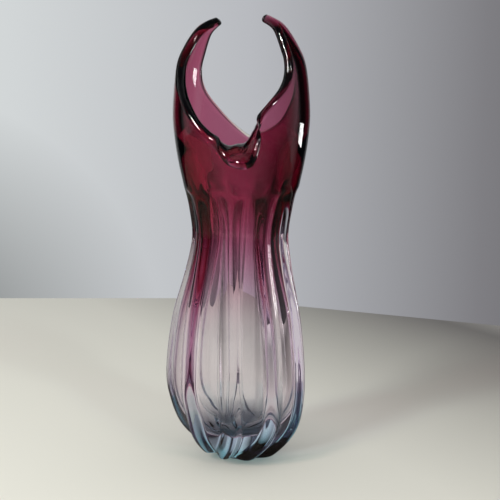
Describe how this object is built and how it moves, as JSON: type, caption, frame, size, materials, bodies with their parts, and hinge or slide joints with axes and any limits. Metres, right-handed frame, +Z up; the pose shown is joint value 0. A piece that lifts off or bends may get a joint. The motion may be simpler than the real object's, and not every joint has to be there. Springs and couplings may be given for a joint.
{
  "type": "glass vase",
  "caption": "Tall heavy cased glass vase: ribbed belly, narrow waist and two drawn-up horns over a small folded lip, plum fading to clear, on a thick flat base.",
  "frame": {"origin": "middle of the flat ground pad under the base, on the table", "axes": "+Z up the vase; -Y is the front, where the folded lip is; +X is to the right seen from the front"},
  "size_m": [0.1104, 0.1192, 0.3364],
  "materials": {
    "amethyst_glass": "fire-polished",
    "clear_glass": "fire-polished",
    "aqua_glass": "fire-polished, ground flat underneath"
  },
  "bodies": {
    "root": {"amethyst_lining": "amethyst_glass", "clear_casing": "clear_glass", "base_gather": "aqua_glass", "rib_1": "clear_glass", "rib_2": "clear_glass", "rib_3": "clear_glass", "rib_4": "clear_glass", "rib_5": "clear_glass", "rib_6": "clear_glass", "rib_7": "clear_glass", "rib_8": "clear_glass", "rib_9": "clear_glass"}
  },
  "joints": []
}
